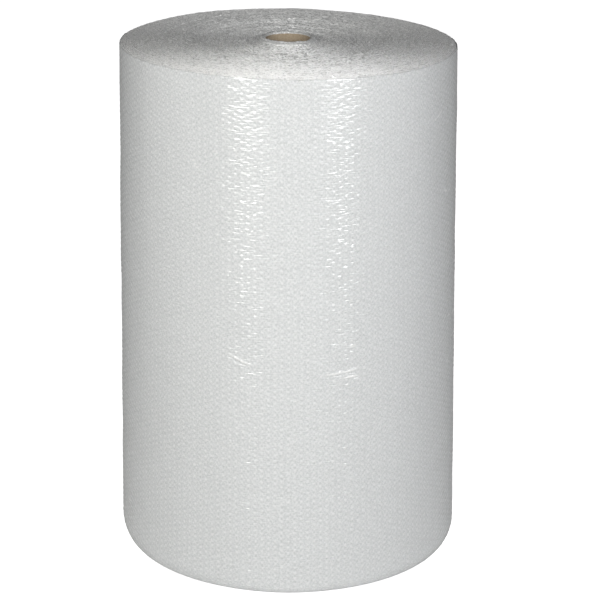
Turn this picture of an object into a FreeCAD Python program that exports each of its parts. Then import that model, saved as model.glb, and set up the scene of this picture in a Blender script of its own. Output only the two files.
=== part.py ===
import FreeCAD, Part
import math
import os

import Sketcher
from FreeCAD import Vector

# A roll of air-bubble cushioning film wound on a cardboard core, standing on one end.
# The origin is on the core's axis, on the floor, with +Z up the axis. The free end of the film is at +Y.

doc = FreeCAD.newDocument("bubble_film_roll")

# Driving dimensions in millimetres, apart from the two counts of turns
driving_sizes = [
    ("web_width", 1000, "width of the film, which is the roll's height"),
    ("roll_diameter", 640, "across the free outer end of the film"),
    ("film_thickness", 4, "one layer of film with its bubbles, the step at the free end"),
    ("core_bore", 76, "inside of the cardboard core"),
    ("core_wall", 4, "wall of the cardboard core"),
    ("core_recess", 3, "how far the core stops short of each end of the film"),
    ("mouth_flare", 3, "how far the film turns out round the core's mouth"),
    ("mouth_land", 6, "flat ring of film round the mouth"),
    ("rim_width", 50, "soft band along the upper rim"),
    ("rim_drop", 14, "how far that band drops to the wall"),
    ("rim_land", 6, "flat ring between the turns' edges and the soft band"),
    ("foot_width", 28, "rounding of the lower rim, where the roll's weight presses it"),
    ("foot_rise", 34, "height of that rounding"),
    ("turn_count", 14, "turns drawn on each end, each for several turns of the real winding"),
    ("dished_turns", 9, "how many of them, from the core outwards, lie lower at the upper end"),
    ("dish_depth", 4, "how much lower they lie"),
    ("crest_drop", 0.5, "how far the highest turns' crests stop short of the flat rings"),
    ("turn_slip", 3, "how much lower a turn may have slipped between its neighbours"),
    ("turn_depth", 3.5, "step from one turn's edge to the next"),
]
sheet = doc.addObject("Spreadsheet::Sheet", "sizes")
for row, (alias, number, meaning) in enumerate(driving_sizes, start=1):
    sheet.set(f"A{row}", meaning)
    sheet.set(f"B{row}", str(number))
    sheet.setAlias(f"B{row}", alias)
doc.recompute()


class Size:
    """A length with the expression that ties it to the sheet."""

    def __init__(self, value, text):
        self.value = value
        self.text = text

    def __add__(self, other):
        other = as_size(other)
        return Size(self.value + other.value, f"({self.text} + {other.text})")

    def __sub__(self, other):
        other = as_size(other)
        return Size(self.value - other.value, f"({self.text} - {other.text})")

    def __mul__(self, other):
        other = as_size(other)
        return Size(self.value * other.value, f"({self.text} * {other.text})")

    def __truediv__(self, other):
        other = as_size(other)
        return Size(self.value / other.value, f"({self.text} / {other.text})")


def as_size(item):
    return item if isinstance(item, Size) else Size(float(item), str(item))


def from_sheet(alias):
    return Size(float(sheet.get(alias)), f"sizes.{alias}")


# Sizes worked out from the driving ones
floor_height = Size(0, "0")
level = Size(0, "0")
end_height = from_sheet("web_width")
core_radius = from_sheet("core_bore") / 2 + from_sheet("core_wall")
film_thickness = from_sheet("film_thickness")
turn_count = int(sheet.get("turn_count"))
dished_turns = int(sheet.get("dished_turns"))

# The winding is a spiral of half circles: the half at -X is centred on the axis, and the half at +X
# is centred a little towards +Y, so that each turn starts where the one inside it ends.
inner_half_radius = from_sheet("roll_diameter") / 2 - film_thickness / 2
wall_offset = film_thickness / 2

# The turns' edges on the ends are a coarser spiral of the same kind
turns_start = core_radius + from_sheet("mouth_flare") + from_sheet("mouth_land")
turns_end = inner_half_radius - from_sheet("rim_width") - from_sheet("rim_land")
turn_pitch = (turns_end - turns_start) / (from_sheet("turn_count") + 1)
turn_offset = turn_pitch / 2

# The turns slip up and down by a sine whose step, in radians, never brings it back to the same place
slip_step = 2.2

# Facets of the two soft rims
upper_facets = 4
lower_facets = 3

# How far a cutting profile reaches past the surface that it cuts
overrun = 5


def make_body(label):
    body = doc.addObject("PartDesign::Body", label)
    body.Label = label
    return body


def origin_plane(body, role):
    return next(feature for feature in body.Origin.OriginFeatures if feature.Role == role)


def make_sketch(body, name, role):
    sketch = body.newObject("Sketcher::SketchObject", name)
    sketch.AttachmentSupport = (origin_plane(body, role), [""])
    sketch.MapMode = "FlatFace"
    return sketch


def constrain(sketch, kind, *places, size=None):
    """Add a constraint, bound to the sheet where it has a size."""
    values = [size.value] if size else []
    index = sketch.addConstraint(Sketcher.Constraint(kind, *places, *values))
    if size:
        sketch.setExpression(f"Constraints[{index}]", size.text)


def place_point(sketch, edge, end, across, up):
    """Fix one end of an edge by its distances from the sketch's origin."""
    constrain(sketch, "DistanceX", -1, 1, edge, end, size=across)
    constrain(sketch, "DistanceY", -1, 1, edge, end, size=up)


def closed_outline(sketch, corners):
    """Draw a closed outline of straight edges through corners of (across, up) sizes."""
    first = sketch.GeometryCount
    points = [Vector(across.value, up.value, 0) for across, up in corners]
    for start, end in zip(points, points[1:] + points[:1]):
        sketch.addGeometry(Part.LineSegment(start, end))
    for number, (across, up) in enumerate(corners):
        edge = first + number
        following = first + (number + 1) % len(corners)
        constrain(sketch, "Coincident", edge, 2, following, 1)
        place_point(sketch, edge, 1, across, up)


def turning_axis(sketch, offset):
    """Draw the upright centre line of the half at +X."""
    foot = Vector(offset.value, 0, 0)
    head = Vector(offset.value, end_height.value, 0)
    line = sketch.addGeometry(Part.LineSegment(foot, head), True)
    place_point(sketch, line, 2, offset, end_height)
    constrain(sketch, "Vertical", line)
    constrain(sketch, "PointOnObject", line, 1, -1)


def half_turn_groove(body, name, offset, draw):
    """Cut one profile half a turn round: at -X about the axis, or at +X about its offset centre."""
    sketch = make_sketch(body, f"{name}_profile", "YZ_Plane")
    draw(sketch)
    if offset:
        turning_axis(sketch, offset)
    doc.recompute()
    groove = body.newObject("PartDesign::Groove", name)
    groove.Profile = sketch
    groove.ReferenceAxis = (sketch, ["Axis0" if offset else "V_Axis"])
    groove.Angle = 180
    groove.Reversed = bool(offset)
    doc.recompute()
    return groove


# Cardboard core

core = make_body("core_tube")
core_ring = make_sketch(core, "core_ring", "XY_Plane")
for radius in (from_sheet("core_bore") / 2, core_radius):
    circle = core_ring.addGeometry(Part.Circle(Vector(), Vector(0, 0, 1), radius.value))
    constrain(core_ring, "Coincident", circle, 3, -1, 1)
    constrain(core_ring, "Radius", circle, size=radius)
core_length = core.newObject("PartDesign::Pad", "core_length")
core_length.Profile = core_ring
core_length.setExpression("Length", (end_height - from_sheet("core_recess") * 2).text)
core.setExpression("Placement.Base.z", from_sheet("core_recess").text)
doc.recompute()

# Wound film: the outer turn's outline, with the step at its free end, and the hole for the core

film = make_body("bubble_film")
winding = make_sketch(film, "winding", "XY_Plane")
inner_radius = inner_half_radius.value
outer_radius = inner_radius + wall_offset.value
upright = Vector(0, 0, 1)
inner_arc, outer_arc, free_end, core_hole = winding.addGeometry(
    [
        Part.ArcOfCircle(
            Part.Circle(Vector(), upright, inner_radius), math.radians(90), math.radians(270)
        ),
        Part.ArcOfCircle(
            Part.Circle(Vector(0, wall_offset.value, 0), upright, outer_radius),
            math.radians(-90),
            math.radians(90),
        ),
        Part.LineSegment(
            Vector(0, wall_offset.value + outer_radius, 0), Vector(0, inner_radius, 0)
        ),
        Part.Circle(Vector(), upright, core_radius.value),
    ]
)
constrain(winding, "Coincident", inner_arc, 3, -1, 1)
constrain(winding, "Coincident", core_hole, 3, -1, 1)
constrain(winding, "Coincident", inner_arc, 2, outer_arc, 1)
constrain(winding, "Coincident", outer_arc, 2, free_end, 1)
constrain(winding, "Coincident", free_end, 2, inner_arc, 1)
constrain(winding, "PointOnObject", inner_arc, 1, -2)
constrain(winding, "PointOnObject", inner_arc, 2, -2)
constrain(winding, "PointOnObject", outer_arc, 2, -2)
constrain(winding, "PointOnObject", outer_arc, 3, -2)
constrain(winding, "Radius", inner_arc, size=inner_half_radius)
constrain(winding, "Radius", core_hole, size=core_radius)
constrain(winding, "DistanceY", -1, 1, outer_arc, 3, size=wall_offset)
wound_web = film.newObject("PartDesign::Pad", "wound_web")
wound_web.Profile = winding
wound_web.setExpression("Length", end_height.text)
doc.recompute()

# Turned-out mouths of the hole for the core


def is_mouth(edge):
    """The hole's edge at one end of the film."""
    curve = edge.Curve
    return isinstance(curve, Part.Circle) and math.isclose(curve.Radius, core_radius.value, rel_tol=1e-6)


mouths = film.newObject("PartDesign::Chamfer", "mouths")
mouths.Base = (
    wound_web,
    [f"Edge{number}" for number, edge in enumerate(wound_web.Shape.Edges, 1) if is_mouth(edge)],
)
mouths.setExpression("Size", from_sheet("mouth_flare").text)
doc.recompute()

# Turns' edges at both ends: each leans outwards and stops at a step, some have slipped, and the inner
# ones of the upper end lie lower


def crest_depth(turn, dish_depth):
    """How deep a turn's crest lies below the flat rings of its end."""
    slipped = from_sheet("turn_slip") * (0.5 + 0.5 * math.sin(slip_step * turn))
    depth = from_sheet("crest_drop") + slipped
    return depth + dish_depth if turn < dished_turns else depth


def turns_profile(shift, end, inwards, dish_depth):
    """Draw the cut for one half turn. inwards is -1 at the upper end and 1 at the lower end."""

    def draw(sketch):
        outside = end - as_size(overrun) * inwards
        start = turns_start + shift
        corners = [(start, outside)]
        for turn in range(turn_count):
            crest = crest_depth(turn, dish_depth)
            valley = crest + from_sheet("turn_depth")
            corners.append((start + turn_pitch * turn, end + crest * inwards))
            corners.append((start + turn_pitch * (turn + 1), end + valley * inwards))
        corners.append((start + turn_pitch * turn_count, outside))
        closed_outline(sketch, corners)

    return draw


for place, end, inwards, dish_depth in (
    ("upper", end_height, -1, from_sheet("dish_depth")),
    ("lower", floor_height, 1, level),
):
    near = turns_profile(0, end, inwards, dish_depth)
    far = turns_profile(turn_pitch, end, inwards, dish_depth)
    half_turn_groove(film, f"{place}_turns_near", None, near)
    half_turn_groove(film, f"{place}_turns_far", turn_offset, far)

# Soft rims: a quarter ellipse in a few facets, wide and shallow at the upper end


def rim_profile(wall, end, inwards, width, rise, facets):
    """Draw the cut outside a rim for one half turn. inwards is -1 at the upper end and 1 at the lower end."""

    def draw(sketch):
        outside = end - as_size(overrun) * inwards
        corners = [(wall - width, outside)]
        for facet in range(facets + 1):
            angle = math.radians(90 * facet / facets)
            across = wall - width * (1 - math.sin(angle))
            corners.append((across, end + rise * (1 - math.cos(angle)) * inwards))
        corners += [(wall + overrun, end + rise * inwards), (wall + overrun, outside)]
        closed_outline(sketch, corners)

    return draw


for place, end, inwards, width, rise, facets in (
    ("upper", end_height, -1, from_sheet("rim_width"), from_sheet("rim_drop"), upper_facets),
    ("lower", floor_height, 1, from_sheet("foot_width"), from_sheet("foot_rise"), lower_facets),
):
    near = rim_profile(inner_half_radius, end, inwards, width, rise, facets)
    far = rim_profile(inner_half_radius + film_thickness, end, inwards, width, rise, facets)
    half_turn_groove(film, f"{place}_rim_near", None, near)
    half_turn_groove(film, f"{place}_rim_far", wall_offset, far)

# Checks before writing

for item in doc.Objects:
    if "Invalid" in item.State or "Error" in item.State:
        raise RuntimeError(f"{item.Name} failed: {item.State}")

os.makedirs("parts", exist_ok=True)
for piece in (core, film):
    shape = piece.Shape
    if shape.isNull() or not shape.isValid() or len(shape.Solids) != 1:
        raise RuntimeError(f"{piece.Label} is not one valid solid")
    shape.exportStep(f"parts/{piece.Label}.step")
    print(f"{piece.Label}: {shape.Volume / 1e6:.3f} litres, {len(shape.Faces)} faces")
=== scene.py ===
# %% [markdown]
# # A roll of air-bubble film, standing on one end
#
# The real thing is a web of thin polyethylene film, one metre wide, with rows of sealed air bubbles,
# wound on a cardboard tube until it is about 64 cm across. The CAD model gives its size, its two pieces
# and the step where the film ends. This lesson dresses that model: a quilted outer turn, two ends made of
# the edges of all the turns, and a wound board core.

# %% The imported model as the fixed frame
import math

import bmesh
import bpy
import numpy as np
from mathutils import Matrix, Vector


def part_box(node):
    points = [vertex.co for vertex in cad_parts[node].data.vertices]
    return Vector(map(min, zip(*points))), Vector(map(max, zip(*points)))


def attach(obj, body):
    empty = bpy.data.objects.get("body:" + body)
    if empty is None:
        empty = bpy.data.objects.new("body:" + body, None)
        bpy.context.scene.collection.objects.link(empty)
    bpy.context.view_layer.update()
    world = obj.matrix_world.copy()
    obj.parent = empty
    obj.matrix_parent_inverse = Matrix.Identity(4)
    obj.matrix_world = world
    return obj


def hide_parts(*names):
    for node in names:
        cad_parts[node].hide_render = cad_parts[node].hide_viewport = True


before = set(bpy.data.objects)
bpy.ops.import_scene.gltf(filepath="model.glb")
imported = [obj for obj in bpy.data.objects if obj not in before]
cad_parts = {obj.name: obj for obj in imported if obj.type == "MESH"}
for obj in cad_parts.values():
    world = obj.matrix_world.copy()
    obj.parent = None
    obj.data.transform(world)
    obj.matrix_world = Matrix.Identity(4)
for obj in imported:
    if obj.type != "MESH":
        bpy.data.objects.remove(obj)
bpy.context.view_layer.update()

# %% [markdown]
# ## Sizes from the frame
#
# The winding is a spiral of two half circles. The half at -X is centred on the axis, and the half at +X
# is centred a little towards +Y, so that the wall comes round to its start one film thickness further
# out. Both radii can be read from the box of the CAD piece, so nothing here has to be fitted by hand.

# %% Radii, heights and the step at the free end
MM = 0.001
film_low, film_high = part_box("bubble_film")
core_low, core_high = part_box("core_tube")
wall_radius = -film_low.x
film_step = 2 * (film_high.x - wall_radius)
roll_height = film_high.z
core_radius = core_high.x
print(f"wall radius {wall_radius:.4f}, step {film_step:.4f}, height {roll_height:.4f}")


# %% The wall's place at any angle
def outward(turn):
    """Unit directions at the given angles, clockwise from the free end at +Y, seen from above."""
    return np.sin(turn), np.cos(turn)


def growth(turn):
    """How much further out the winding lies than at -X, from 1 at the free end to 0 after half a turn."""
    return np.where(turn < math.pi, 0.5 * (1 + np.cos(turn)), 0.0)


print("the wall grows by", (film_step * growth(np.array([0.0, 1.57, 3.2]))).round(5))

# %% [markdown]
# ## Irregularity that stays the same on every run
#
# Nothing on such a roll is regular: bubbles differ, the film pulls in waves and the turns slip on each
# other. A table of seeded random numbers, blended smoothly between its entries, gives all of that. It is
# cheaper than a texture and can be asked for a value at any point.

# %% Smooth noise on the surface
table_size = 128


def soft_noise(across, along, seed):
    """Smooth values from -1 to 1. One unit of across or along is the size of one lump."""
    table = np.random.default_rng(seed).uniform(-1, 1, (table_size, table_size))
    left, low = np.floor(across).astype(int), np.floor(along).astype(int)
    x, y = across - left, along - low
    x, y = x * x * (3 - 2 * x), y * y * (3 - 2 * y)
    corner = [table[(left + i) % table_size, (low + j) % table_size] for i in (0, 1) for j in (0, 1)]
    return (corner[0] * (1 - y) + corner[1] * y) * (1 - x) + (corner[2] * (1 - y) + corner[3] * y) * x


print("a few values:", soft_noise(np.arange(4) * 0.7, np.zeros(4), 1).round(2))

# %% [markdown]
# ## From a grid of points to a mesh
#
# Every large surface here is a grid: points along one direction by points along the other. Building it
# with numpy and handing whole arrays to the mesh takes a second where a loop over faces would take
# minutes. The normals come from the full grid, so that a surface that is cut into several pieces shows no
# line at a cut.

# %% Grid helpers
def grid_normals(points):
    """Unit normals of a grid of points, to the left of the rows' direction."""
    along = np.gradient(points, axis=0)
    across = np.gradient(points, axis=1)
    normal = np.cross(along, across)
    return normal / np.maximum(np.linalg.norm(normal, axis=2, keepdims=True), 1e-12)


def grid_faces(rows, columns):
    """The four corners of each face of a grid whose points are numbered row by row."""
    first = (np.arange(rows - 1)[:, None] * columns + np.arange(columns - 1)[None, :]).ravel()
    return np.stack([first, first + 1, first + columns + 1, first + columns], axis=1)


def make_mesh(name, points, faces, normals=None, numbers=None, smooth=True):
    """A mesh object from arrays. numbers holds values per point that a material may read."""
    mesh = bpy.data.meshes.new(name)
    mesh.vertices.add(len(points))
    mesh.vertices.foreach_set("co", points.astype(np.float32).ravel())
    mesh.loops.add(faces.size)
    mesh.loops.foreach_set("vertex_index", faces.astype(np.int32).ravel())
    mesh.polygons.add(len(faces))
    mesh.polygons.foreach_set("loop_start", np.arange(0, faces.size, faces.shape[1], dtype=np.int32))
    mesh.update(calc_edges=True)
    mesh.validate()
    mesh.polygons.foreach_set("use_smooth", np.full(len(mesh.polygons), smooth))
    for label, values in (numbers or {}).items():
        layer = mesh.attributes.new(label, "FLOAT", "POINT")
        layer.data.foreach_set("value", values.astype(np.float32).ravel())
    if normals is not None:
        mesh.normals_split_custom_set_from_vertices(normals.reshape(-1, 3).tolist())
    piece = bpy.data.objects.new(name, mesh)
    bpy.context.scene.collection.objects.link(piece)
    print(f"{name}: {len(points)} points, {len(faces) * (faces.shape[1] - 2)} triangles")
    return piece


# %% [markdown]
# ## The roll's side profile
#
# The wall stands on a rounded foot, where the roll's weight presses the turns in, more at the sides than
# at the front and most on the left. It ends at the rim, some 13 mm below the top of the roll, where the
# edges of the turns take over and rise inwards as a wide soft shoulder. Below, the turns spread a few
# millimetres. The profile is a quarter ellipse, the straight wall and only the start of the shoulder's
# ellipse. It is measured up the film, because the bubbles are spaced along the film.

# %% Profile of the outer turn, from the foot to the edge of the film
shoulder_width = 140 * MM
shoulder_front, shoulder_round = 15 * MM, 14 * MM
film_inset = 1 * MM
shoulder_reach = math.acos(1 - film_inset / shoulder_width)
# width and rise of the foot's rounding at the front, the left and the right
foot_front, foot_left, foot_right = (14 * MM, 14 * MM), (45 * MM, 60 * MM), (39 * MM, 51 * MM)
left_power = 1.35
spread_below = 4 * MM
foot_length, shoulder_length, mean_foot_rise = 60 * MM, 2 * MM, 20 * MM
wall_span = roll_height - shoulder_front - mean_foot_rise
film_width = foot_length + wall_span + shoulder_length
print(f"film from edge to edge: {film_width:.3f} m")


def foot_size(turn):
    """Width and rise of the foot's rounding at an angle. On the left it sets in nearer to the front."""
    across = np.sin(turn)
    side = np.where(across < 0, np.abs(across) ** left_power, across**2)
    return [
        front * (1 - side) + np.where(across < 0, left, right) * side
        for front, left, right in zip(foot_front, foot_left, foot_right)
    ]


def shoulder_drop(turn):
    """How far the shoulder falls at an angle: a little more at the front, where the edges have sagged."""
    return shoulder_round + (shoulder_front - shoulder_round) * np.clip(-np.cos(turn), 0, 1) ** 2


def side_profile(up, turn):
    """Inset from the wall and height, at a length up the film and an angle round the roll."""
    width, rise = foot_size(turn)
    foot = np.clip(up / foot_length, 0, 1) * math.pi / 2
    wall = np.clip((up - foot_length) / wall_span, 0, 1)
    shoulder = np.clip((up - foot_length - wall_span) / shoulder_length, 0, 1) * shoulder_reach
    inset = width * (1 - np.sin(foot)) + shoulder_width * (1 - np.cos(shoulder))
    height = rise * (1 - np.cos(foot)) + (roll_height - shoulder_drop(turn) - rise) * wall
    height = height + shoulder_drop(turn) * np.sin(shoulder)
    return inset - spread_below * (1 - height / roll_height), height


# %% [markdown]
# ## The quilted outer turn
#
# Ten-millimetre bubbles lie in columns 12 mm apart, every second column half a step lower, and the film
# is pulled tight round the roll. That pull matters for the looks: along the film the surface stays nearly
# straight, while from row to row it rises and falls, so a lamp is mirrored as short level dashes. A bump
# map would do for the front view only. Here the quilting is real geometry: three points per column and
# six per row follow one formula, a wave in both directions, a ridge over each half row, and flat lumps of
# slack.

# %% Bubble spacing on the unrolled film
column_gap = 12.1 * MM
row_gap = 11.2 * MM
wall_length = math.pi * (2 * wall_radius + film_step / 2)
column_points, row_points = 3, 6
strip_names = ("right", "front", "left")
strip_count = len(strip_names)
columns = round(wall_length / column_gap * column_points / strip_count) * strip_count + 1
rows = round(film_width / row_gap * row_points)
print(f"{columns} points round the roll by {rows} up the side")


# %% Height of the quilting
# each kind of unevenness has a length along the film, a rise up it and a size
pull_length, pull_rise, pull_size = 110 * MM, 90 * MM, 1.2 * MM
lump_length, lump_rise, lump_height = 14 * MM, 3.4 * MM, 0.20 * MM
band_length, band_rise, band_height = 1500 * MM, 50 * MM, 0.5 * MM
dent_length, dent_rise, dent_height = 300 * MM, 220 * MM, 0.8 * MM
bubble_height, ridge_height = 0.30 * MM, 0.12 * MM
mean_fullness, fullness_spread = 0.75, 0.4


def bubble_places(along, up):
    """Where a point lies among the bubbles, in columns along the film and rows up it."""
    pull = soft_noise(along / pull_length, up / pull_rise, 11) * pull_size
    return (along + 1.5 * pull) / column_gap, (up + pull) / row_gap


def quilting(along, up):
    """How far the film stands out over the bubbles, in metres, at a length along it and a height up it."""
    column, row = bubble_places(along, up)
    fullness = mean_fullness + fullness_spread * soft_noise(along / column_gap, up / row_gap * 1.3, 12)
    bubbles = bubble_height * np.cos(math.pi * column) * np.cos(2 * math.pi * row)
    ridges = ridge_height * np.cos(4 * math.pi * row)
    return fullness * (bubbles + ridges) + lump_height * soft_noise(along / lump_length, up / lump_rise, 13)


def waves(along, up):
    """Slow unevenness of the winding: gauge bands round the roll, and soft dents."""
    bands = band_height * soft_noise(along / band_length, up / band_rise, 21)
    return bands + dent_height * soft_noise(along / dent_length, up / dent_rise, 22)


print("quilting in mm:", (quilting(np.array([0, 0.012]), np.array([0.5, 0.5])) / MM).round(2))

# %% [markdown]
# ## Creases
#
# Where the web was pulled askew it shows a few fine creases: long level ones at the middle of the wall,
# and short steep ones under the rim. Each one is a soft ridge beside a shallow groove, along a short
# curve, and catches the light. They are given in real terms, as an angle round the roll from the front, a
# height, a length, a slope and a bend. More are spread over the sides and the back by the seeded
# generator.

# %% Creases on the film
front_creases = [
    # angle in degrees from the front (right is plus), height, length, slope, bend
    (-16.7, 0.457, 0.060, -0.43, 0.30),
    (17.4, 0.432, 0.083, 0.12, 0.06),
    (20.7, 0.422, 0.045, 0.09, 0.00),
    (21.0, 0.480, 0.022, 0.10, 0.00),
    (-44.5, 0.835, 0.018, -1.60, 0.10),
    (-33.2, 0.819, 0.018, -1.50, 0.15),
    (-25.3, 0.843, 0.012, -1.20, 0.00),
    (-18.0, 0.844, 0.016, -2.20, 0.10),
]
more_creases, more_bend = 26, 0.2
crease_height, crease_width = 1.5 * MM, 1.6 * MM
groove_share, groove_width, groove_shift = 0.6, 1.8 * MM, 3 * MM
# crease height at which the film is painted fully white, partly stress-whitening and partly a painted glint
crease_white_and_glint_height = 1.2 * MM


def all_creases():
    """The front creases as lengths along the film, and others round the rest of the roll."""
    spread = np.random.default_rng(31)
    placed = []
    for angle, height, length, slope, bend in front_creases:
        placed.append((wall_radius * (math.pi - math.radians(angle)), height, length, slope, bend))
    for number in range(more_creases):
        place = wall_radius * math.radians((180 + spread.uniform(55, 305)) % 360)
        length = spread.uniform(0.02, 0.07)
        slope = spread.normal(0, 0.3)
        height = spread.uniform(0.1, 0.9)
        placed.append((place, height, length, slope, more_bend))
    return placed


def creasing(along, up):
    """Height of all creases in metres. Each is full along its middle and fades towards its ends."""
    total = np.zeros_like(up)
    for centre, height, length, slope, bend in all_creases():
        near = (np.abs(along - centre) < length) & (np.abs(up - height) < length)
        x = -(along[near] - centre)
        y = up[near] - height - slope * x - bend * (x * x / length - length / 12)
        ridge = np.exp(-((y / crease_width) ** 2))
        groove = np.exp(-(((y + groove_shift) / groove_width) ** 2))
        ends = np.clip(1.4 - 2.8 * np.abs(x) / length, 0, 1)
        total[near] += crease_height * (ridge - groove_share * groove) * ends
    return total


print(len(all_creases()), "creases")

# %% [markdown]
# ## Where the roll leans
#
# A roll of soft film never stands perfectly square. Its upper end slopes down a few millimetres from left
# to right, and its rim wavers. Both are small moves of height that the wall and the upper end share, so
# that the pieces stay joined. The waver is read from the noise along a circle, so that it closes on
# itself.

# %% Lean of the upper end
end_slope = -0.012
lean_from = 0.55
rim_waver = 1.6 * MM
waver_middle, waver_circle = 3, 2.5


def lean(x, y, height):
    """Extra height in metres: the upper end's slope and waver, which fade out down the wall."""
    share = np.clip((height / roll_height - lean_from) / (1 - lean_from), 0, 1) ** 2
    angle = np.arctan2(y, x)
    circle_x, circle_y = waver_circle * np.cos(angle), waver_circle * np.sin(angle)
    waver = soft_noise(waver_middle + circle_x, waver_middle + circle_y, 41)
    return share * (end_slope * x + rim_waver * waver)


left_and_right = lean(np.array([-wall_radius, wall_radius]), np.zeros(2), np.full(2, roll_height))
print("lean at the left and right in mm:", (left_and_right / MM).round(1))

# %% [markdown]
# ## Building the outer turn
#
# The film starts with its cut edge at the back, which stands a film's thickness proud and lifts a little,
# and goes once round. Its upper edge is a lip that wavers by a millimetre. Each point also carries
# numbers for the material: its column and row among the bubbles, and how far a crease paints the film
# white there, partly as stress-whitening and partly as a painted glint. The grid is cut into three pieces,
# right, front and left, to keep each mesh handy.

# %% Points of the outer turn
edge_lift, edge_curl, edge_lump = 1.2 * MM, 9 * MM, 50 * MM
smooth_foot = 6 * MM
lip_rise, lip_lump, mean_lip, lip_waver = 8 * MM, 4 * MM, 0.3 * MM, 0.9 * MM


def angle_along(along):
    """The angle from the free end at a length along the film. The first half turn has the larger radius."""
    first_radius = wall_radius + film_step / 2
    first_half = math.pi * first_radius
    return np.where(along < first_half, along / first_radius, math.pi + (along - first_half) / wall_radius)


def outer_turn_points():
    """Grid of points, rows up the side by columns along the film, and the three numbers of each point."""
    along = np.linspace(0, wall_length, columns)[None, :]
    up = np.linspace(0, film_width, rows)[:, None]
    turn = angle_along(along)
    side, back = outward(turn)
    inset, height = side_profile(up, turn)
    creases = creasing(along + 0 * up, height)
    relief = quilting(along, up) + waves(along, up) + creases
    lifted_edge = edge_lift * np.exp(-along / edge_curl) * (1 + soft_noise(up / edge_lump, 0 * up, 51))
    fade = np.clip(up / smooth_foot, 0, 1)
    radius = wall_radius + film_step * growth(turn) - inset + (relief + lifted_edge) * fade
    near_lip = np.clip(1 - (film_width - up) / lip_rise, 0, 1)
    height = height + near_lip * (mean_lip + lip_waver * soft_noise(along / lip_lump, 0 * along, 52))
    x, y = radius * side, radius * back
    column, row = bubble_places(along + 0 * up, up + 0 * along)
    # creases painted white: partly stress-whitening, partly a painted glint
    crease_white_and_glint = np.clip(creases / crease_white_and_glint_height, 0, 1)
    return np.stack([x, y, height + lean(x, y, height)], axis=2), (column, row, crease_white_and_glint)


outer_points, outer_places = outer_turn_points()
print("outer turn grid:", outer_points.shape)

# %% Cutting it into three pieces
tuck_depth = film_step + 1.5 * MM
outer_normals = grid_normals(outer_points)
cuts = [(columns - 1) // strip_count * number for number in range(strip_count + 1)]
outer_pieces = []
for name, first, last in zip(strip_names, cuts[:-1], cuts[1:]):
    strip = slice(first, last + 1)
    points, normals = outer_points[:, strip], outer_normals[:, strip]
    places = [place[:, strip] for place in outer_places]
    if first == 0:
        # the free end's cut edge, down to the turn below
        tucked = points[:, :1] * [1, 1 - tuck_depth / wall_radius, 1]
        points = np.concatenate([tucked, points], axis=1)
        normals = np.concatenate([normals[:, :1], normals], axis=1)
        places = [np.concatenate([place[:, :1], place], axis=1) for place in places]
    faces = grid_faces(*points.shape[:2])[:, ::-1]
    numbers = dict(zip(("column", "row", "crease_white_and_glint"), places))
    outer_pieces.append(make_mesh(f"outer_turn_{name}", points.reshape(-1, 3), faces, normals, numbers))
print([piece.name for piece in outer_pieces])

# %% [markdown]
# ## The ends: the edges of all the turns
#
# Each end shows the cut edges of 83 turns, 3.2 mm apart. A picture of rings would be wrong in one way
# that shows: the line of edges is a single spiral. So the grid here is a spiral too. Its rows are
# numbered outwards, an edge and a gap in turn, and after one round a row runs into the one two places
# further in, where the points are shared. The edges are cut through bubbles, so they rise and fall along
# the turn. The faces stay flat, so that each facet glints by itself as a cut skin does. Bundles of turns
# have slipped up or down against each other, like the drawn turns of the CAD model: 14 of them, of which
# nine dish in.

# %% Form of an end
turn_gap = 3.2 * MM
mouth_radius = core_radius + 3 * MM
turns_from = core_radius + 9 * MM
rim_width = 56 * MM
bundles, dished_bundles, slip_step = 14, 9, 2.2
bundle_low, bundle_slip, bundle_lean = 2 * MM, 1.5 * MM, 1.5 * MM
bundle_gap = (wall_radius - rim_width - turns_from) / (bundles + 1)
dish_depth = 4 * MM
level_ring = 3 * MM
end_turns = math.floor((wall_radius - film_inset - turns_from) / turn_gap)
print(f"{end_turns} turns from {turns_from:.3f} m outwards")


def step_up(value, start, width):
    """A ramp from 0 to 1 that begins at start."""
    return np.clip((value - start) / width, 0, 1)


def bundle_form(radius, turn, dish):
    """Depth of the turns in bundles, which lean outwards, slip against each other and lie lower inside."""
    number = (radius - turns_from) / bundle_gap - growth(turn)
    bundle = np.clip(np.floor(number), 0, bundles - 1)
    slipped = bundle_slip * (0.5 + 0.5 * np.sin(slip_step * bundle))
    lean_out = bundle_lean * np.clip(number - bundle, 0, 1)
    dished = dish * step_up(-number, -dished_bundles, 0.6)
    return bundle_low + slipped + lean_out + dished


def end_form(radius, turn, reach, dish, width, drop):
    """Depth below the end's plane: level at the mouth, bundles of turns, and falling towards the wall."""
    bundled = bundle_form(radius, turn, dish) * step_up(radius, turns_from, level_ring)
    over = step_up(radius, reach - width, width)
    return bundled * (1 - step_up(radius, reach - 1.2 * width, width)) + drop * (1 - np.sqrt(1 - over**2))


# %% Spiral grid of one end
gap_place = 0.38
turn_slip, slips_a_turn = 0.4 * MM, 1.7
cut_height, cuts_a_bubble = 1.1 * MM, 2.8
end_lump_height, end_lump_length = 0.25 * MM, 22 * MM
gap_depth, deeper_outside, calmer_outside = 0.9 * MM, 0.6 * MM, 0.35
lower_roughness = 0.6
flare_width = 12 * MM
outer_from, outer_width = 110 * MM, 90 * MM
last_row_fall = 1.2 * MM
# the ends' colour number: its mean, the painted shade in each gap, and the spread and length of random tone
# with painted glints
mean_shade, painted_gap_shade, tone_and_glint_spread, tone_and_glint_length = 0.94, 0.12, 0.25, 7 * MM
# painted light towards the rim, for light that comes through the wall and out of the cut edges
painted_rim_light, painted_rim_light_width = 0.32, 130 * MM


def spiral_faces(rows, angles):
    """Faces of a spiral grid. The last angle of a row meets the first angle two rows further in."""
    number = np.arange(rows * angles).reshape(rows, angles)
    after = np.roll(number, -1, axis=1)
    after[2:, -1] = number[:-2, 0]
    after[:2, -1] = -1
    quads = np.stack([number[:-1], number[1:], after[1:], after[:-1]], axis=2).reshape(-1, 4)
    return quads[(quads >= 0).all(axis=1)]


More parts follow.
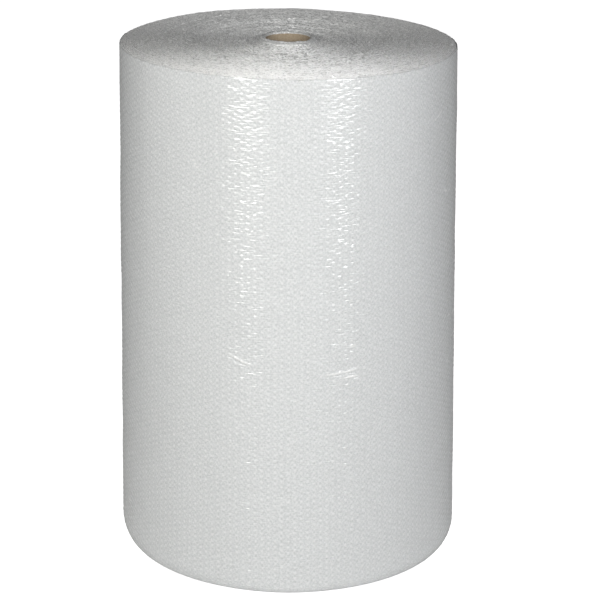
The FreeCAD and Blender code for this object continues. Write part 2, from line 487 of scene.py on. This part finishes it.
def spiral_end(name, angles, upper):
    """One end as a spiral grid of edges and gaps. The lower end is the same form, turned over and calmer.

    Each gap lies close outside an edge, and from it the film slopes up to the next edge. Towards the rim the
    gaps get deeper, because fewer turns lie beyond them. The colour number holds painted light and shade: it
    is lower in each gap as painted shade, higher towards the rim as painted light that comes through the
    wall, and varies at random, with painted glints.
    """
    turn = np.arange(angles)[None, :] * 2 * math.pi / angles
    row = np.arange(2 * end_turns + 3)[:, None] + 0 * turn
    wound = row / 2 + 1 - turn / (2 * math.pi)
    radius = turns_from + turn_gap * (row / 2 - 1 + growth(turn) - gap_place * (row % 2))
    side, back = outward(turn)
    length = 2 * math.pi * (turns_from * wound + turn_gap * wound * wound / 2)
    reach = wall_radius + film_step * growth(turn) + (0 if upper else spread_below)
    seed = 60 if upper else 80
    width, drop = (shoulder_width, shoulder_drop(turn)) if upper else foot_size(turn)
    depth = end_form(radius, turn, reach, dish_depth if upper else 0, width, drop)
    gap = (row % 2).astype(float)
    slip = turn_slip * soft_noise(wound * slips_a_turn, 0 * wound, seed + 1)
    cut = cut_height * soft_noise(length / column_gap * cuts_a_bubble, np.floor(row / 2), seed + 2)
    lumps = end_lump_height * soft_noise(length / end_lump_length, wound * 0.5, seed + 3)
    outside = step_up(radius, reach - outer_from, outer_width)
    rough = slip + (1 - calmer_outside * outside) * cut + lumps
    rough = rough - (gap_depth + deeper_outside * outside) * gap
    depth = depth - step_up(radius, mouth_radius, flare_width) * rough * (1.0 if upper else lower_roughness)
    depth = depth + last_row_fall * (row == 2 * end_turns + 2)
    x, y = radius * side, radius * back
    z = roll_height - depth + lean(x, y, roll_height - depth) if upper else np.maximum(depth, 0)
    points = np.stack([x, y, z], axis=2).reshape(-1, 3)
    faces = spiral_faces(*row.shape)
    # painted light: the edges are painted paler towards the rim, for light that comes through the wall
    painted_light_through = painted_rim_light * step_up(radius, reach - shoulder_width, painted_rim_light_width) ** 2
    # random tone along the turns, with painted glints
    tone_and_painted_glints = tone_and_glint_spread * soft_noise(length / tone_and_glint_length, wound, seed + 4)
    # colour number: mean tone, plus painted light towards the rim, less painted shade in a gap, plus random
    # tone and painted glints
    shade = mean_shade + painted_light_through - painted_gap_shade * gap + tone_and_painted_glints
    numbers = {"shade": np.clip(shade, 0, 1.4)}
    return make_mesh(name, points, faces[:, ::-1] if upper else faces, numbers=numbers, smooth=False)


upper_end = spiral_end("upper_end", 480, True)
lower_end = spiral_end("lower_end", 240, False)

# %% [markdown]
# ## The mouth round the core
#
# The first turns are glued to the tube, and their edges turn out round its mouth. A short ring closes the
# space between the core and the first turn of the spiral.

# %% Mouth rings
mouth_segments = 144
# the ring's section, in millimetres out from the core's wall and up from the end of the film
mouth_section = [(0, -14), (0.2, -5), (1.2, -1.5), (3, 0), (6, -0.3), (9, -0.8), (12.5, -3.5)]
mouth_waver, waver_lumps, painted_shade_lumps = 1.0 * MM, 24, 30


def mouth_ring(name, upper):
    """A flared ring from the core's wall to the first turns. Only its inner rows waver."""
    turn = np.linspace(0, 2 * math.pi, mouth_segments + 1)
    side, back = outward(turn)
    layers = []
    for number, (out, rise) in enumerate(mouth_section):
        inner = 0 < number < len(mouth_section) - 1
        uneven = inner * mouth_waver * soft_noise(turn * waver_lumps / math.pi, 0 * turn + number * 0.9, 91)
        radius = core_radius + out * MM + 0.3 * uneven
        x, y = radius * side, radius * back
        z = roll_height + rise * MM + uneven if upper else -rise * MM + 0 * turn
        z = z + lean(x, y, z) if upper else z
        layers.append(np.stack([x, y, z], axis=1))
    points = np.stack(layers)
    points[:, -1] = points[:, 0]
    faces = grid_faces(*points.shape[:2])
    rows_up = np.arange(len(mouth_section))[:, None]
    # painted shade round the core's mouth: the colour number is low on average and patchy, so the ring is
    # darker than the ends
    shade = 0.5 + 0.5 * soft_noise(turn * painted_shade_lumps / math.pi + 0 * points[:, :, 0], rows_up, 92)
    numbers = {"shade": np.clip(shade, 0, 1)}
    points = points.reshape(-1, 3)
    return make_mesh(name, points, faces[:, ::-1] if upper else faces, numbers=numbers, smooth=False)


mouth_upper = mouth_ring("mouth_upper", True)
mouth_lower = mouth_ring("mouth_lower", False)

# %% [markdown]
# ## The wound board core
#
# A paper tube is made of strips of board wound as a steep screw and glued in layers. Inside, the edge of
# the last strip leaves a fine groove that climbs round the wall, and the ends show the layers as thin
# rings. The inner wall is built as a screw, with close rows at the groove, and then cut level at both
# ends.

# %% Wall of the board core
strip_rise = 150 * MM
bore_radius = core_radius - 4 * MM
groove_depth = 0.35 * MM
core_segments = 96
weld_distance = 0.01 * MM


def screw_wall(mesh, radius, groove):
    """A wall whose rows climb with the strip, later cut level at its ends."""
    offsets = np.array([0, 0.6, 1.2, 1.8, 30, 60, 90, 120]) * MM
    inward = np.array([0, groove, groove, 0, 0, 0, 0, 0])
    rings = []
    for number in range(-1, int(roll_height / strip_rise) + 2):
        for offset, cut in zip(offsets, inward):
            rings.append((number * strip_rise + offset, radius + cut))
    previous = None
    for base, ring_radius in rings:
        line = []
        for angle in np.linspace(0, 2 * math.pi, core_segments + 1):
            across, back = ring_radius * math.sin(angle), ring_radius * math.cos(angle)
            line.append(mesh.verts.new((across, back, base + strip_rise * angle / (2 * math.pi))))
        if previous:
            for index in range(core_segments):
                mesh.faces.new((previous[index], previous[index + 1], line[index + 1], line[index]))
        previous = line
    bmesh.ops.remove_doubles(mesh, verts=mesh.verts, dist=weld_distance)
    for height, direction in ((core_low.z, -1), (core_high.z, 1)):
        everything = mesh.verts[:] + mesh.edges[:] + mesh.faces[:]
        bmesh.ops.bisect_plane(
            mesh, geom=everything, plane_co=(0, 0, height), plane_no=(0, 0, direction), clear_outer=True
        )


print(f"groove rises {strip_rise:.3f} m a round, bore radius {bore_radius:.4f} m")


# %% Board core with its layered ends
plies = 8
ply_groove = 0.25 * MM


def board_core():
    """The tube: a grooved inner wall, a plain outer wall and two ends whose layers show as thin rings."""
    mesh = bmesh.new()
    screw_wall(mesh, bore_radius, groove_depth)
    outer = bmesh.new()
    screw_wall(outer, core_radius, 0)
    for face in outer.faces:
        face.normal_flip()
    data = bpy.data.meshes.new("outer_wall")
    outer.to_mesh(data)
    outer.free()
    mesh.from_mesh(data)
    bpy.data.meshes.remove(data)
    for height, direction in ((core_low.z, -1), (core_high.z, 1)):
        previous = None
        for ply in range(2 * plies + 1):
            radius = bore_radius + (core_radius - bore_radius) * ply / (2 * plies)
            level = height - ply_groove * (ply % 2) * direction
            line = []
            for index in range(core_segments):
                angle = 2 * math.pi * index / core_segments
                line.append(mesh.verts.new((radius * math.sin(angle), radius * math.cos(angle), level)))
            if previous:
                for index in range(core_segments):
                    after = (index + 1) % core_segments
                    corners = (previous[index], line[index], line[after], previous[after])
                    mesh.faces.new(corners if direction < 0 else corners[::-1])
            previous = line
    bmesh.ops.remove_doubles(mesh, verts=mesh.verts, dist=weld_distance)
    data = bpy.data.meshes.new("board_core")
    mesh.to_mesh(data)
    mesh.free()
    piece = bpy.data.objects.new("board_core", data)
    bpy.context.scene.collection.objects.link(piece)
    print("board_core:", len(data.polygons), "faces")
    return piece


core_piece = board_core()

# %% [markdown]
# ## Colours and nodes
#
# Colours are written as the hex values that a picture would show, and turned to linear light by one
# function. A second function adds a node, sets its values and links its inputs. A third starts a material
# with its shader and with the object's own coordinates, so that a pattern has the same size on every
# piece.

# %% Helpers for materials
def linear(code):
    """An sRGB hex colour as linear red, green, blue and alpha."""
    channels = [int(code[place : place + 2], 16) / 255 for place in (1, 3, 5)]
    return [c / 12.92 if c <= 0.04045 else ((c + 0.055) / 1.055) ** 2.4 for c in channels] + [1.0]


def add_node(tree, kind, settings=None, values=None, links=None):
    """A new node with its settings, the values of its inputs and the outputs that feed them."""
    node = tree.nodes.new(kind)
    for key, value in (settings or {}).items():
        setattr(node, key, value)
    for key, value in (values or {}).items():
        node.inputs[key].default_value = value
    for key, source in (links or {}).items():
        tree.links.new(source, node.inputs[key])
    return node


def start_material(name):
    """A material with its shader, its tree and its place in the object's own coordinates."""
    material = bpy.data.materials.new(name)
    material.use_nodes = True
    tree = material.node_tree
    tree.nodes.clear()
    output = add_node(tree, "ShaderNodeOutputMaterial")
    shader = add_node(tree, "ShaderNodeBsdfPrincipled")
    tree.links.new(shader.outputs["BSDF"], output.inputs["Surface"])
    place = add_node(tree, "ShaderNodeTexCoord").outputs["Object"]
    return material, tree, shader, place


print("paper white in linear light:", [round(c, 3) for c in linear("#F5F4F0")])

# %% [markdown]
# ## The colour of low-density polyethylene film
#
# Blown polyethylene is clear in one layer. Dozens of layers with air between them scatter the light, so
# the roll looks milky and nearly neutral. Over each bubble the colour is painted a little paler, as a row
# of pale dots: a painted highlight on each bubble, with painted shade between them. A fine grain of about
# 2.5 mm lies over the dots. Along a crease the film is painted white, partly as stress-whitening and
# partly as a painted glint.
# The dots are made of waves over the mesh's own column and row numbers, so they sit exactly on the
# quilting. The sum of a wide and a narrow wave is high at the middle of a bubble only. Times the row's
# wave, it moves by half a row from one column to the next, as the bubbles do.

# %% Dots, grain and creases of the film
def bubble_dots(tree):
    """A number that is high over each bubble and low between them."""
    column = add_node(tree, "ShaderNodeAttribute", {"attribute_name": "column"})
    row = add_node(tree, "ShaderNodeAttribute", {"attribute_name": "row"})
    waves_over = []
    for source, half_turns in ((column, 1), (column, 3), (row, 2), (column, 2)):
        angle = add_node(tree, "ShaderNodeMath", {"operation": "MULTIPLY"}, {1: half_turns * math.pi},
                         {0: source.outputs["Fac"]})
        wave = add_node(tree, "ShaderNodeMath", {"operation": "COSINE"}, links={0: angle.outputs[0]})
        waves_over.append(wave.outputs[0])
    wide, narrow, level, upright = waves_over
    peaks = add_node(tree, "ShaderNodeMath", {"operation": "ADD"}, links={0: wide, 1: narrow})
    dots = add_node(tree, "ShaderNodeMath", {"operation": "MULTIPLY"}, links={0: peaks.outputs[0], 1: level})
    lines = add_node(tree, "ShaderNodeMath", {"operation": "MULTIPLY"}, {1: 0.3}, {0: upright})
    both = add_node(tree, "ShaderNodeMath", {"operation": "ADD"},
                    links={0: dots.outputs[0], 1: lines.outputs[0]})
    return both.outputs[0]


def film_colour(tree, place, bubble):
    """Grain, painted highlight dots on the bubbles, and creases painted white: stress-whitening and glint.
    """
    scaled = add_node(tree, "ShaderNodeMapping", links={"Vector": place},
                      values={"Scale": (1 / (2.6 * MM), 1 / (2.6 * MM), 1 / (2.4 * MM))})
    grain = add_node(tree, "ShaderNodeTexNoise", links={"Vector": scaled.outputs["Vector"]},
                     values={"Scale": 1.0, "Detail": 3.0, "Roughness": 0.5})
    spread = add_node(tree, "ShaderNodeMath", {"operation": "MULTIPLY"}, {1: 10}, {0: grain.outputs["Fac"]})
    # painted highlight over each bubble and painted shade between them, as pale dots
    painted_bubble_highlights = add_node(tree, "ShaderNodeMath", {"operation": "MULTIPLY"}, {1: 0.8}, {0: bubble})
    total = add_node(tree, "ShaderNodeMath", {"operation": "ADD"},
                     links={0: painted_bubble_highlights.outputs[0], 1: spread.outputs[0]})
    mixed = add_node(tree, "ShaderNodeMath", {"operation": "MULTIPLY"}, {1: 0.1}, {0: total.outputs[0]})
    tint = add_node(tree, "ShaderNodeValToRGB", links={"Fac": mixed.outputs[0]})
    for stop, position, colour in zip(tint.color_ramp.elements, (0.28, 0.72), ("#D2D5D6", "#F2F3F4")):
        stop.position, stop.color = position, linear(colour)
    # creases painted white: partly stress-whitening, partly a painted glint
    crease_white_and_glint = add_node(tree, "ShaderNodeAttribute", {"attribute_name": "crease_white_and_glint"})
    creased = add_node(tree, "ShaderNodeMix", {"data_type": "RGBA"}, {"B": linear("#FFFFFF")},
                       {"Factor": crease_white_and_glint.outputs["Fac"], "A": tint.outputs["Color"]})
    return creased.outputs["Result"]


print("the dots repeat every", 2 * column_gap, "by", row_gap, "metres")

# %% [markdown]
# ## The gloss of the film
#
# The film's own surface stays glossy, and it is full of fine wrinkles that run round the roll with the
# pull. They are too small for the mesh, so they are bump. On the roll they are a few millimetres long.
# Here they are drawn at about 20 mm by 2.8 mm, as coarse as they need to be to show as dashes in the
# picture. One film surface has an IOR of 1.51. The clear coat's IOR is 2.0, because a lamp is mirrored by
# several surfaces of bubble and web, one behind the other. Some light travels through the layers before
# it comes out, which is subsurface scattering.

# %% Film on the wall
def polyethylene_film():
    """Milky film with faint dots, under a clear coat that is wrinkled along the film."""
    material, tree, shader, place = start_material("polyethylene_film")
    bubble = bubble_dots(tree)
    tree.links.new(film_colour(tree, place, bubble), shader.inputs["Base Color"])
    shader.inputs["IOR"].default_value = 1.51
    shader.inputs["Roughness"].default_value = 0.40
    shader.inputs["Subsurface Weight"].default_value = 0.25
    shader.inputs["Subsurface Radius"].default_value = (0.02, 0.02, 0.02)
    shader.inputs["Subsurface Scale"].default_value = 0.5
    shader.inputs["Coat Weight"].default_value = 1.0
    shader.inputs["Coat IOR"].default_value = 2.0
    shader.inputs["Coat Roughness"].default_value = 0.20
    scaled = add_node(tree, "ShaderNodeMapping", links={"Vector": place},
                      values={"Scale": (1 / (20 * MM), 1 / (20 * MM), 1 / (2.8 * MM))})
    wrinkles = add_node(tree, "ShaderNodeTexNoise", links={"Vector": scaled.outputs["Vector"]},
                        values={"Scale": 1.0, "Detail": 1.0, "Roughness": 0.5})
    domes = add_node(tree, "ShaderNodeMath", {"operation": "MULTIPLY"}, {1: 0.06}, {0: bubble})
    relief = add_node(tree, "ShaderNodeMath", {"operation": "ADD"},
                      links={0: domes.outputs[0], 1: wrinkles.outputs["Fac"]})
    bump = add_node(tree, "ShaderNodeBump", values={"Strength": 1.0, "Distance": 1.2 * MM},
                    links={"Height": relief.outputs[0]})
    tree.links.new(bump.outputs["Normal"], shader.inputs["Normal"])
    tree.links.new(bump.outputs["Normal"], shader.inputs["Coat Normal"])
    return material


film_material = polyethylene_film()
print("made", film_material.name)

# %% [markdown]
# ## The cut edges of the film
#
# On the ends the same film is seen edge-on. Light falls between the turns and is lost there, so the ends
# look greyer than the wall, with bright glints where a cut bubble turns its skin to the lamp. The mesh
# carries a number of painted light and shade, and the colour follows it: it is lower in a gap, as painted
# shade between the turns, and higher near the rim, as painted light that comes through the wall. A pattern
# at the size of a cut bubble varies the tone at random and paints pale sparkle. The glints come from a
# clear coat, smoother than the wall's because the cut skins are not wrinkled, over a bump of about 4 mm,
# which is the size of a cut bubble's pieces of skin.

# %% Film on the ends
def cut_film_edges():
    """Grey film with glints, painted darker in the gaps and paler at the rim, with painted sparkle in
    patches.
    """
    material, tree, shader, place = start_material("cut_polyethylene_edges")
    # the mesh's number of painted light and shade, with random tone
    shade = add_node(tree, "ShaderNodeAttribute", {"attribute_name": "shade"})
    scaled = add_node(tree, "ShaderNodeMapping", links={"Vector": place},
                      values={"Scale": (1 / (3.6 * MM), 1 / (3.6 * MM), 1 / (3.6 * MM))})
    # a pattern at the size of a cut bubble: random tone that also paints pale sparkle
    mottle_and_sparkle = add_node(tree, "ShaderNodeTexNoise", links={"Vector": scaled.outputs["Vector"]},
                      values={"Scale": 1.0, "Detail": 2.0, "Roughness": 0.5})
    both = add_node(tree, "ShaderNodeMath", {"operation": "MULTIPLY"},
                    links={0: shade.outputs["Fac"], 1: mottle_and_sparkle.outputs["Fac"]})
    tint = add_node(tree, "ShaderNodeValToRGB", links={"Fac": both.outputs[0]})
    for stop, position, colour in zip(tint.color_ramp.elements, (0.30, 0.58), ("#D6D7D7", "#FFFFFF")):
        stop.position, stop.color = position, linear(colour)
    tree.links.new(tint.outputs["Color"], shader.inputs["Base Color"])
    shader.inputs["IOR"].default_value = 1.51
    shader.inputs["Roughness"].default_value = 0.3
    shader.inputs["Subsurface Weight"].default_value = 0.2
    shader.inputs["Subsurface Radius"].default_value = (0.02, 0.02, 0.02)
    shader.inputs["Subsurface Scale"].default_value = 0.5
    shader.inputs["Coat Weight"].default_value = 1.0
    shader.inputs["Coat IOR"].default_value = 2.0
    shader.inputs["Coat Roughness"].default_value = 0.12
    finer = add_node(tree, "ShaderNodeMapping", links={"Vector": place},
                     values={"Scale": (1 / (4.0 * MM), 1 / (4.0 * MM), 1 / (4.0 * MM))})
    flecks = add_node(tree, "ShaderNodeTexNoise", links={"Vector": finer.outputs["Vector"]},
                      values={"Scale": 1.0, "Detail": 3.0, "Roughness": 0.5})
    bump = add_node(tree, "ShaderNodeBump", values={"Strength": 0.9, "Distance": 3.0 * MM},
                    links={"Height": flecks.outputs["Fac"]})
    tree.links.new(bump.outputs["Normal"], shader.inputs["Normal"])
    tree.links.new(bump.outputs["Normal"], shader.inputs["Coat Normal"])
    return material


edge_material = cut_film_edges()
print("made", edge_material.name)

# %% [markdown]
# ## Grey-brown board
#
# The tube is rolled from recycled board: matt, fibrous, a dull grey-brown with fine flecks. Its fibres
# lie along the strip, about 3 mm long and under a millimetre high.

# %% Board of the core
def recycled_board():
    """Matt grey-brown board with fibres."""
    material, tree, shader, place = start_material("recycled_board")
    scaled = add_node(tree, "ShaderNodeMapping", links={"Vector": place},
                      values={"Scale": (1 / (3 * MM), 1 / (3 * MM), 1 / (0.8 * MM))})
    fibres = add_node(tree, "ShaderNodeTexNoise", links={"Vector": scaled.outputs["Vector"]},
                      values={"Scale": 1.0, "Detail": 5.0, "Roughness": 0.5})
    tint = add_node(tree, "ShaderNodeValToRGB", links={"Fac": fibres.outputs["Fac"]})
    for stop, position, colour in zip(tint.color_ramp.elements, (0.3, 0.7), ("#A3917B", "#C6B7A2")):
        stop.position, stop.color = position, linear(colour)
    tree.links.new(tint.outputs["Color"], shader.inputs["Base Color"])
    shader.inputs["Roughness"].default_value = 0.85
    bump = add_node(tree, "ShaderNodeBump", values={"Strength": 0.5, "Distance": 0.2 * MM},
                    links={"Height": fibres.outputs["Fac"]})
    tree.links.new(bump.outputs["Normal"], shader.inputs["Normal"])
    return material


board_material = recycled_board()
print("made", board_material.name)

# %% [markdown]
# ## Putting the pieces on the frame
#
# The film's pieces stand for the CAD film, and the wound core stands for the CAD tube.

# %% Riding, replacing and slots
for piece in outer_pieces:
    piece.data.materials.append(film_material)
for piece in (upper_end, lower_end, mouth_upper, mouth_lower):
    piece.data.materials.append(edge_material)
for piece in [*outer_pieces, upper_end, lower_end, mouth_upper, mouth_lower]:
    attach(piece, "root")
    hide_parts("bubble_film")
core_piece.data.materials.append(board_material)
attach(core_piece, "root")
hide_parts("core_tube")

# %% [markdown]
# ## Floor, background and lamps
#
# The studio is plain: a pale floor, and a surround that is white to the camera and dim to the roll. A
# broad lamp behind the camera lights the wall evenly. Two small soft boxes, near and high on the left and
# on the right, draw the two bands of dashes down the film. They are near, so the bands fade towards the
# floor. Two large level lamps at the sides keep the roll's edges from going dark without lighting its
# end. One soft box is a touch warm and one side lamp a touch cool, as in a studio with mixed lamps.

# %% Floor
floor_reach = 30.0
floor_below = 0.5 * MM


def studio_floor():
    """A pale floor that takes the roll's shadow and looks white to the camera."""
    mesh = bpy.data.meshes.new("studio_floor")
    corners = [(-1, -1), (1, -1), (1, 1), (-1, 1)]
    mesh.from_pydata([(floor_reach * x, floor_reach * y, 0) for x, y in corners], [], [(0, 1, 2, 3)])
    floor = bpy.data.objects.new("studio_floor", mesh)
    floor.location.z = -floor_below
    bpy.context.scene.collection.objects.link(floor)
    material = bpy.data.materials.new("pale_floor")
    material.use_nodes = True
    tree = material.node_tree
    tree.nodes.clear()
    output = add_node(tree, "ShaderNodeOutputMaterial")
    matt = add_node(tree, "ShaderNodeBsdfDiffuse", values={"Color": linear("#F8F8F8")})
    glow = add_node(tree, "ShaderNodeEmission", values={"Color": linear("#FFFFFF"), "Strength": 0.9})
    rays = add_node(tree, "ShaderNodeLightPath")
    camera_glow = add_node(tree, "ShaderNodeMixShader",
                           links={0: rays.outputs["Is Camera Ray"], 2: glow.outputs[0]})
    both = add_node(tree, "ShaderNodeAddShader", links={0: matt.outputs[0], 1: camera_glow.outputs[0]})
    tree.links.new(both.outputs[0], output.inputs["Surface"])
    mesh.materials.append(material)
    return floor


studio_floor()
print("floor ready")


# %% World and lamps
aim_height = 0.55


def surround(strength):
    """An even light from all round, which the camera sees as white."""
    world = bpy.data.worlds.new("surround")
    bpy.context.scene.world = world
    world.use_nodes = True
    tree = world.node_tree
    tree.nodes.clear()
    output = add_node(tree, "ShaderNodeOutputWorld")
    rays = add_node(tree, "ShaderNodeLightPath")
    seen = add_node(tree, "ShaderNodeMath", {"operation": "MAXIMUM"},
                    links={0: rays.outputs["Is Camera Ray"], 1: rays.outputs["Is Transmission Ray"]})
    ambient, white = (
        add_node(tree, "ShaderNodeBackground", values={"Color": linear("#FFFFFF"), "Strength": amount})
        for amount in (strength, 1.0)
    )
    mix = add_node(tree, "ShaderNodeMixShader",
                   links={0: seen.outputs[0], 1: ambient.outputs[0], 2: white.outputs[0]})
    tree.links.new(mix.outputs[0], output.inputs["Surface"])


def soft_lamp(name, angle, rise, distance, size, power, colour="#FFFFFF"):
    """A square lamp aimed at the roll. Its angle is to the right of the camera, in degrees like its rise."""
    lamp = bpy.data.lights.new(name, "AREA")
    lamp.shape = "SQUARE"
    lamp.size = size
    lamp.energy = power
    lamp.color = linear(colour)[:3]
    holder = bpy.data.objects.new(name, lamp)
    turn, tilt = math.radians(angle), math.radians(rise)
    aim = Vector((0, 0, aim_height))
    away = Vector((math.sin(turn) * math.cos(tilt), -math.cos(turn) * math.cos(tilt), math.sin(tilt)))
    holder.location = aim + away * distance
    holder.rotation_mode = "QUATERNION"
    holder.rotation_quaternion = (-away).to_track_quat("-Z", "Y")
    bpy.context.scene.collection.objects.link(holder)
    return holder


surround(0.175)
soft_lamp("front_fill", 0, 6, 7.0, 7.0, 114)
soft_lamp("left_softbox", -27, 24, 2.6, 0.6, 19, "#FFFEF8")
soft_lamp("right_softbox", 34, 24, 2.6, 0.6, 17)
soft_lamp("left_side", -84, 0, 4.2, 4.0, 27)
soft_lamp("right_side", 80, 0, 4.2, 4.0, 16, "#F9FBFF")
print("lamps ready")

# %% [markdown]
# ## The camera
#
# The photograph looks down on the roll at about 16 degrees, with a long lens, and shows it slightly left
# of the middle. The values come from a camera fitted to the roll's outline.

# %% Camera
# metres from the axis and above the roll's top, then radians, then the focal length in pixels
camera_distance = 6.0
camera_rise = 1.2484
look_down = 0.2863
look_right = 0.0040
camera_roll = 0.0025
focal_pixels = 3240.2
image_width = 600

camera_data = bpy.data.cameras.new("camera")
camera_data.sensor_width = 36
camera_data.lens = focal_pixels / image_width * camera_data.sensor_width
camera = bpy.data.objects.new("camera", camera_data)
camera.location = (0, -camera_distance, roll_height + camera_rise)
facing = (
    Matrix.Rotation(-look_right, 3, "Z")
    @ Matrix.Rotation(math.pi / 2 - look_down, 3, "X")
    @ Matrix.Rotation(camera_roll, 3, "Z")
)
camera.rotation_euler = facing.to_euler()
bpy.context.scene.collection.objects.link(camera)
bpy.context.scene.camera = camera
bpy.context.scene.view_settings.view_transform = "Standard"
print(f"lens {camera_data.lens:.1f} mm")
